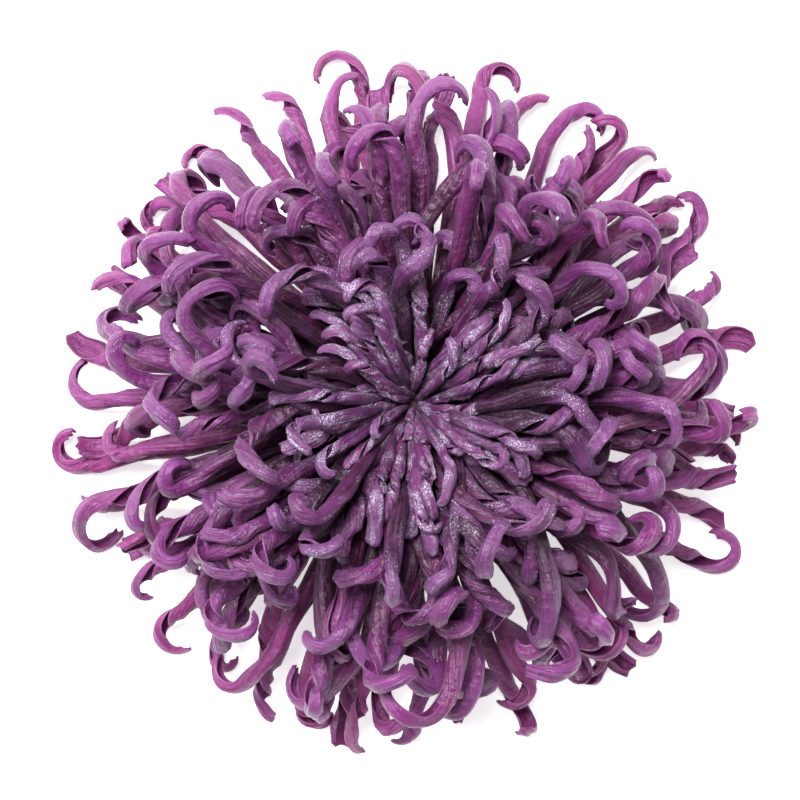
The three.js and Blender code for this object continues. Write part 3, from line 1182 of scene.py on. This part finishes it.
@dataclass
class Calyx:
    """The green parts under the petals: the cut stub, the cup with its bracts, the receptacle."""

    stem_radius: float = 2.6
    stem_height: float = 5.6
    cup_radius: float = 7.4
    cup_top: float = 12.2
    bracts_a_row: int = 13

    def build(self) -> None:
        """Build the green parts and dress them."""
        stem = GreenFinish("stem_fibre", (0.19, 0.21, 0.09), (0.24, 0.17, 0.09), 0.5)
        leaf = GreenFinish("bract_leaf", (0.11, 0.15, 0.05), (0.2, 0.14, 0.08), 0.55).material()
        # The receptacle's dark maroon is painted shade of the deep hollow at the heart's centre.
        seat = GreenFinish("receptacle_shade", (0.05, 0.018, 0.03), (0.03, 0.01, 0.02), 0.65).material()
        tally(self._stem(stem.material()), "stem", "stem_stub")
        tally(self._cup(leaf), "bract", "involucre")
        tally(self._bracts(leaf), "bract")
        tally(self._receptacle(seat), "receptacle", "receptacle")

    def _stem(self, material: bpy.types.Material) -> bpy.types.Object:
        """Build the ribbed stub with its flat cut end and sunken pith.

        Args:
            material: its finish.

        Returns:
            The stub.
        """
        r, h = self.stem_radius, self.stem_height
        profile = [(0, 0.25), (0.42 * r, 0.2), (0.55 * r, 0.0), (0.93 * r, 0.0), (r, 0.12)]
        profile += [(r * (0.99 - 0.05 * math.sin(math.pi * t)), h * t) for t in (0.2, 0.35, 0.5, 0.65, 0.8)]
        profile += [(r * 1.04, h * 0.95), (r * 1.04, h), (0, h)]
        return revolved("stem_stub_ribbed", profile, 72, 11, 0.03, material)

    def _cup(self, material: bpy.types.Material) -> bpy.types.Object:
        """Build the cup that the bracts overlap on.

        Args:
            material: its finish.

        Returns:
            The cup.
        """
        low, r = self.stem_height + GAP, self.cup_radius
        profile = [(0, low), (self.stem_radius * 1.2, low)]
        for i in range(1, 9):
            t = i / 8
            profile.append((r * (0.46 + 0.44 * t**0.55), low + (self.cup_top - low) * t))
        profile.append((0, self.cup_top))
        return revolved("involucre_cup", profile, 78, 13, 0.015, material)

    def _bracts(self, material: bpy.types.Material) -> bpy.types.Object:
        """Build three overlapping rows of pointed bracts on the cup.

        Args:
            material: its finish.

        Returns:
            The bracts, joined.
        """
        steps = np.linspace(0, 1, 14)
        low = self.stem_height + GAP
        lines = []
        for row in range(3):
            for k in range(self.bracts_a_row):
                turn = TURN * (k + row / 3) / self.bracts_a_row
                foot, tall = low + 0.7 + 1.3 * row, 3.6 + 0.35 * row
                z = foot + tall * steps
                rise = np.clip((z - low) / (self.cup_top - low), 0.03, 1)
                r = self.cup_radius * (0.46 + 0.44 * rise**0.55) + 0.3 + 0.35 * steps**3 - 0.08 * row
                z = np.minimum(z, self.cup_top - 0.05)
                lines.append(np.stack([r * math.cos(turn), r * math.sin(turn), z], 1))
        at = np.array(lines)
        t = np.gradient(at, axis=1)
        t /= np.linalg.norm(t, axis=2, keepdims=True)
        inward = -at * np.array([1, 1, 0])
        n = inward - t * np.sum(inward * t, axis=2, keepdims=True)
        n /= np.linalg.norm(n, axis=2, keepdims=True)
        along = np.broadcast_to(steps, at.shape[:2])
        count = len(at)
        blade = Blade(3.0, skin=9, thickness=0.3, spread=1.05, ruffle=0.08, taper=0.25, opening=2.4)
        tip = Tip(0, 0, 1, 0, 46, 0.85)
        spines = Spines(at, t, n, np.cross(n, t), along)
        whole = Growth(*(np.full(count, float(f.name == "share")) for f in fields(Growth)))
        petals = blade.wrapped(spines, whole, [tip] * count, list(range(count)))
        return petals.piece("involucre_bracts", list(range(count)), material)

    def _receptacle(self, material: bpy.types.Material) -> bpy.types.Object:
        """Build the domed receptacle that the petals stand on.

        Args:
            material: its finish.

        Returns:
            The receptacle.
        """
        profile = [(0, self.cup_top + GAP), (DOME_RADIUS * 0.97, self.cup_top + GAP)]
        for i in range(9):
            a = math.radians(90 - 10 * i)
            profile.append((DOME_RADIUS * math.sin(a), DOME_BASE + DOME_RISE * math.cos(a)))
        profile.append((0, DOME_BASE + DOME_RISE))
        return revolved("receptacle_dome", profile, 90, 30, 0.012, material)


@dataclass
class Studio:
    """The pale floor, the soft lights and the camera that looks down the bloom's axis."""

    frame_width: float = 0.1132
    lens: float = 120.0
    sensor: float = 36.0
    aim_height: float = 0.012
    shift_x: float = -0.0006
    shift_y: float = 0.0001
    floor_reach: float = 8.0

    def build(self) -> None:
        """Build the stage."""
        self._floor()
        self._light("softbox_over", (-0.12, 0.2, 0.6), 0.26, 7.2)
        self._light("spark_over", (-0.16, 0.3, 0.52), 0.05, 1.6)
        self._light("softbox_left", (-0.7, 0.1, 0.42), 0.4, 2.2)
        self._light("softbox_right", (0.65, -0.3, 0.45), 0.4, 1.2)
        world = bpy.data.worlds.new("studio")
        world.use_nodes = True
        world.node_tree.nodes["Background"].inputs[0].default_value = (1, 1, 1, 1)
        world.node_tree.nodes["Background"].inputs[1].default_value = 0.26
        bpy.context.scene.world = world
        bpy.context.scene.view_settings.view_transform = "Standard"

    def _floor(self) -> None:
        """Lay the floor that the bloom rests on."""
        mesh = bpy.data.meshes.new("floor")
        w = self.floor_reach
        mesh.from_pydata([(-w, -w, 0), (w, -w, 0), (w, w, 0), (-w, w, 0)], [], [(0, 1, 2, 3)])
        g = Graph("floor_paper")
        g.shader.inputs["Base Color"].default_value = (0.9, 0.9, 0.9, 1)
        g.shader.inputs["Roughness"].default_value = 0.9
        g.shader.inputs["Emission Color"].default_value = (1, 1, 1, 1)
        g.shader.inputs["Emission Strength"].default_value = 0.62
        mesh.materials.append(g.material)
        floor = bpy.data.objects.new("floor", mesh)
        bpy.context.scene.collection.objects.link(floor)
        floor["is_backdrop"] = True

    def _light(self, name: str, place: tuple[float, float, float], size: float, power: float) -> None:
        """Hang a soft square light that faces the bloom.

        Args:
            name: the light's name.
            place: where it hangs.
            size: the length of its side.
            power: its power, in watts.
        """
        lamp = bpy.data.lights.new(name, "AREA")
        lamp.size, lamp.energy = size, power
        light = bpy.data.objects.new(name, lamp)
        light.location = place
        aim = Vector((0, 0, self.aim_height)) - Vector(place)
        light.rotation_euler = aim.to_track_quat("-Z", "Y").to_euler()
        bpy.context.scene.collection.objects.link(light)

    def camera(self) -> None:
        """Set the camera over the middle of the bloom's box, with +Y up in its view."""
        low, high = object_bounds()
        lens = bpy.data.cameras.new("camera")
        lens.lens, lens.sensor_width = self.lens, self.sensor
        camera = bpy.data.objects.new("camera", lens)
        away = self.frame_width * self.lens / self.sensor
        middle = (low + high) / 2
        camera.matrix_world = Matrix.Translation(
            (middle.x + self.shift_x, middle.y + self.shift_y, self.aim_height + away)
        )
        bpy.context.scene.collection.objects.link(camera)
        bpy.context.scene.camera = camera


def main() -> None:
    """Build the head and its stage, in order."""
    Bloom().build()
    Calyx().build()
    studio = Studio()
    studio.build()
    studio.camera()


if __name__ == "__main__":
    logging.basicConfig(level=logging.INFO, format="%(message)s")
    main()
